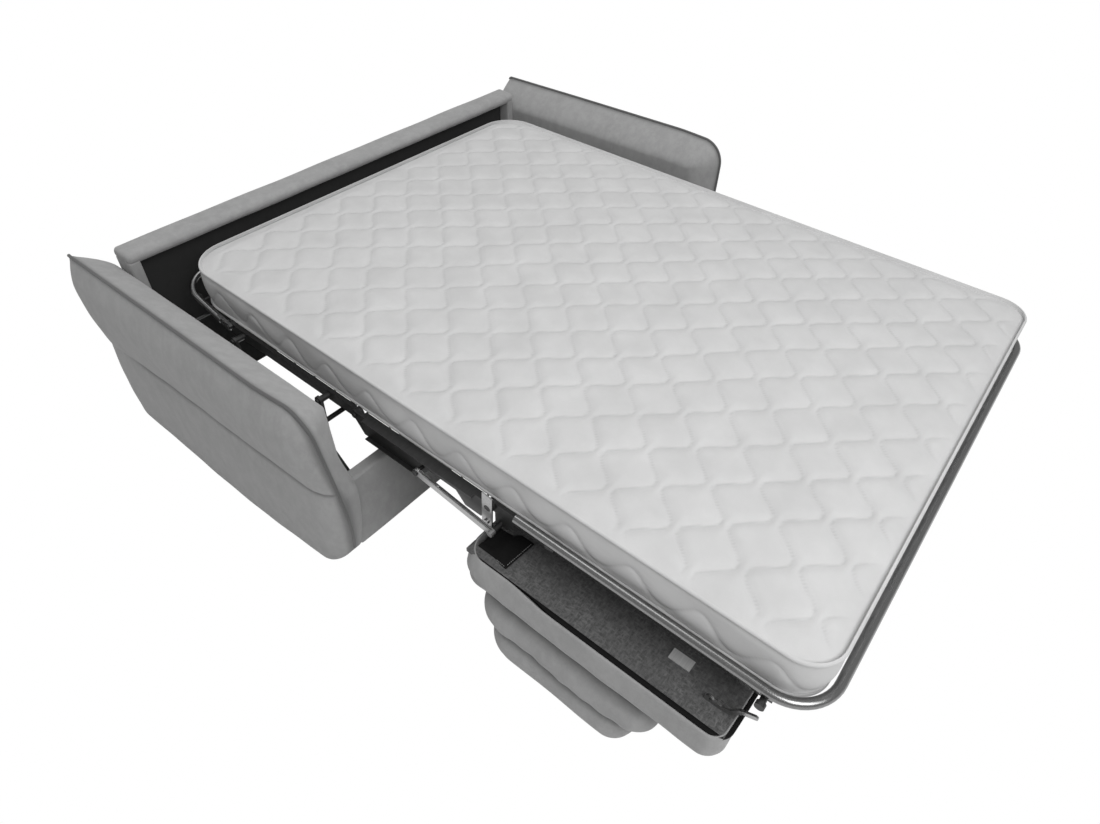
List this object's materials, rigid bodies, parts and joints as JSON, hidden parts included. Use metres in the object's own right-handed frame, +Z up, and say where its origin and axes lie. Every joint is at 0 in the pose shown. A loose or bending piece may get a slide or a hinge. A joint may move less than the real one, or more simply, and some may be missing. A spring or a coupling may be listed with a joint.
{
  "type": "sleeper_sofa",
  "caption": "Sleeper sofa shown with its bed open: a quilted mattress on a folding steel frame between upholstered arms, with the seat and back cushions folded under its foot",
  "frame": {"origin": "centre of the footprint on the floor, with the bed open", "axes": "+Z up, +X across the sofa, the bed opens towards -Y and the sofa's back is at +Y"},
  "size_m": [1.903, 2.159, 0.624],
  "materials": {
    "upholstery": "woven",
    "lining": "plain cloth",
    "wood": "bare plywood",
    "felt": "felt",
    "webbing": "webbing",
    "mattress_cloth": "quilted knit",
    "dark_steel": "satin",
    "bright_steel": "zinc plated",
    "glide_plastic": "matte"
  },
  "bodies": {
    "base": {"back_top_roll": "upholstery", "back_end_posts": "upholstery", "back_board": "wood", "back_outer_cover": "upholstery", "back_inner_lining": "lining", "front_board": "wood", "front_pad": "upholstery", "left_arm_board": "upholstery", "right_arm_board": "upholstery", "left_arm_pad": "upholstery", "right_arm_pad": "upholstery", "left_side_rail": "dark_steel", "right_side_rail": "dark_steel", "base_feet": "glide_plastic"},
    "front_arms": {"left_front_swing_arm": "dark_steel", "right_front_swing_arm": "dark_steel", "swing_cross_tube": "dark_steel"},
    "rear_arms": {"left_rear_swing_arm": "dark_steel", "right_rear_swing_arm": "dark_steel"},
    "rear_section": {"left_rear_side_bar": "dark_steel", "right_rear_side_bar": "dark_steel", "rear_net": "dark_steel", "mattress_rear_block": "mattress_cloth", "mattress_head_fold": "mattress_cloth", "mattress_middle_fold": "mattress_cloth"},
    "head_section": {"head_tube": "bright_steel", "head_straps": "dark_steel", "head_net": "dark_steel", "mattress_head_block": "mattress_cloth"},
    "middle_section": {"left_middle_channel": "dark_steel", "right_middle_channel": "dark_steel", "hinge_plates": "bright_steel", "middle_net": "dark_steel", "mattress_middle_block": "mattress_cloth", "mattress_foot_fold": "mattress_cloth"},
    "fold_links": {"left_fold_link": "bright_steel", "right_fold_link": "bright_steel"},
    "foot_section": {"left_foot_side_rail": "dark_steel", "right_foot_side_rail": "dark_steel", "foot_tube": "bright_steel", "foot_net": "dark_steel", "mattress_foot_block": "mattress_cloth"},
    "front_seat_links": {"left_front_seat_link": "bright_steel", "right_front_seat_link": "bright_steel"},
    "rear_seat_links": {"left_rear_seat_link": "bright_steel", "right_rear_seat_link": "bright_steel"},
    "seat": {"seat_board": "felt", "seat_pad": "upholstery", "left_seat_rail": "dark_steel", "right_seat_rail": "dark_steel", "seat_hooks": "bright_steel", "seat_catch_plates": "bright_steel", "seat_corner_flaps": "webbing", "seat_hinge_leaves": "bright_steel"},
    "back_cushion": {"back_pad_board": "wood", "back_pad": "upholstery", "back_glides": "glide_plastic", "back_hinge_leaves": "bright_steel"}
  },
  "joints": [
    {"name": "front_arm_swing", "type": "hinge", "parent": "base", "child": "front_arms", "pos_m": [0, 0.16988, 0.11883], "axis": [-1, 0, 0], "range_deg": [0, 80.57]},
    {"name": "rear_arm_swing", "type": "hinge", "parent": "base", "child": "rear_arms", "pos_m": [0, 0.53988, 0.11883], "axis": [-1, 0, 0], "range_deg": [0, 80.57]},
    {"name": "bed_level", "type": "hinge", "parent": "front_arms", "child": "rear_section", "pos_m": [0, 0.2795, 0.42], "axis": [-1, 0, 0], "range_deg": [-80.57, 0]},
    {"name": "head_fold", "type": "hinge", "parent": "rear_section", "child": "head_section", "pos_m": [0, 0.7045, 0.43], "axis": [-1, 0, 0], "range_deg": [-90, 0], "deforming": ["mattress_head_fold"]},
    {"name": "middle_fold", "type": "hinge", "parent": "rear_section", "child": "middle_section", "pos_m": [0, 0.1615, 0.43], "axis": [-1, 0, 0], "range_deg": [0, 48], "deforming": ["mattress_middle_fold"]},
    {"name": "link_turn", "type": "hinge", "parent": "middle_section", "child": "fold_links", "pos_m": [0, -0.0805, 0.412], "axis": [-1, 0, 0], "range_deg": [0, 24.7]},
    {"name": "foot_fold", "type": "hinge", "parent": "middle_section", "child": "foot_section", "pos_m": [0, -0.2905, 0.43], "axis": [-1, 0, 0], "range_deg": [0, 132], "deforming": ["mattress_foot_fold"]},
    {"name": "front_seat_link_swing", "type": "hinge", "parent": "foot_section", "child": "front_seat_links", "pos_m": [0, -0.4105, 0.418], "axis": [-1, 0, 0], "range_deg": [0, 54]},
    {"name": "rear_seat_link_swing", "type": "hinge", "parent": "foot_section", "child": "rear_seat_links", "pos_m": [0, -0.8855, 0.418], "axis": [-1, 0, 0], "range_deg": [0, 54]},
    {"name": "seat_level", "type": "hinge", "parent": "front_seat_links", "child": "seat", "pos_m": [0, -0.4561, 0.339], "axis": [-1, 0, 0], "range_deg": [-54, 0]},
    {"name": "back_fold", "type": "hinge", "parent": "seat", "child": "back_cushion", "pos_m": [0, -0.8205, 0.205], "axis": [-1, 0, 0], "range_deg": [0, 100]}
  ],
  "couplings": [
    {"joint": "rear_arm_swing", "follows": "front_arm_swing", "ratio": 1},
    {"joint": "bed_level", "follows": "front_arm_swing", "ratio": -1},
    {"joint": "head_fold", "follows": "front_arm_swing", "ratio": -1.117},
    {"joint": "middle_fold", "follows": "front_arm_swing", "ratio": 0.59573},
    {"joint": "link_turn", "follows": "front_arm_swing", "ratio": 0.30655},
    {"joint": "foot_fold", "follows": "front_arm_swing", "ratio": 1.6382},
    {"joint": "front_seat_link_swing", "follows": "front_arm_swing", "ratio": 0.67019},
    {"joint": "rear_seat_link_swing", "follows": "front_arm_swing", "ratio": 0.67019},
    {"joint": "seat_level", "follows": "front_arm_swing", "ratio": -0.67019},
    {"joint": "back_fold", "follows": "front_arm_swing", "ratio": 1.2411}
  ]
}
